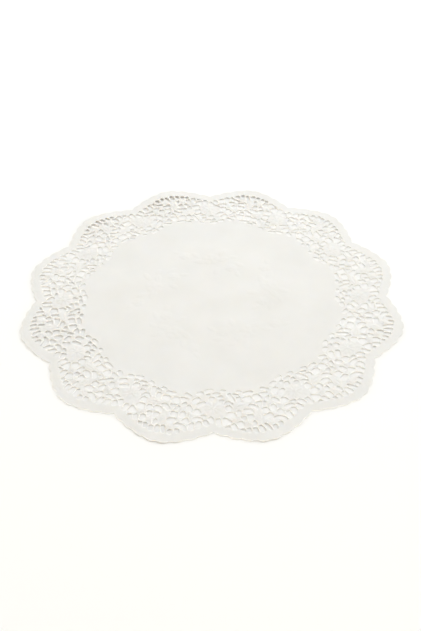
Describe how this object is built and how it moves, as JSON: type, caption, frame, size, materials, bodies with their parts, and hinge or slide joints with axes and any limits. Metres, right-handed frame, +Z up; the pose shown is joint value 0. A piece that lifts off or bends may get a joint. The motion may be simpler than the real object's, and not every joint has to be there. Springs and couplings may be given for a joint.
{
  "type": "lace doily",
  "caption": "Round white paper doily with a lobed edge, a die-cut lace border of flowers and leaves, and a plain centre.",
  "frame": {"origin": "centre of the doily, on its underside", "axes": "+Z up out of the sheet's face; +Y points to the notch between two lobes"},
  "size_m": [0.291, 0.291, 0.001],
  "materials": {
    "paper": "matt"
  },
  "bodies": {
    "root": {"lace_doily": "paper"}
  },
  "joints": []
}
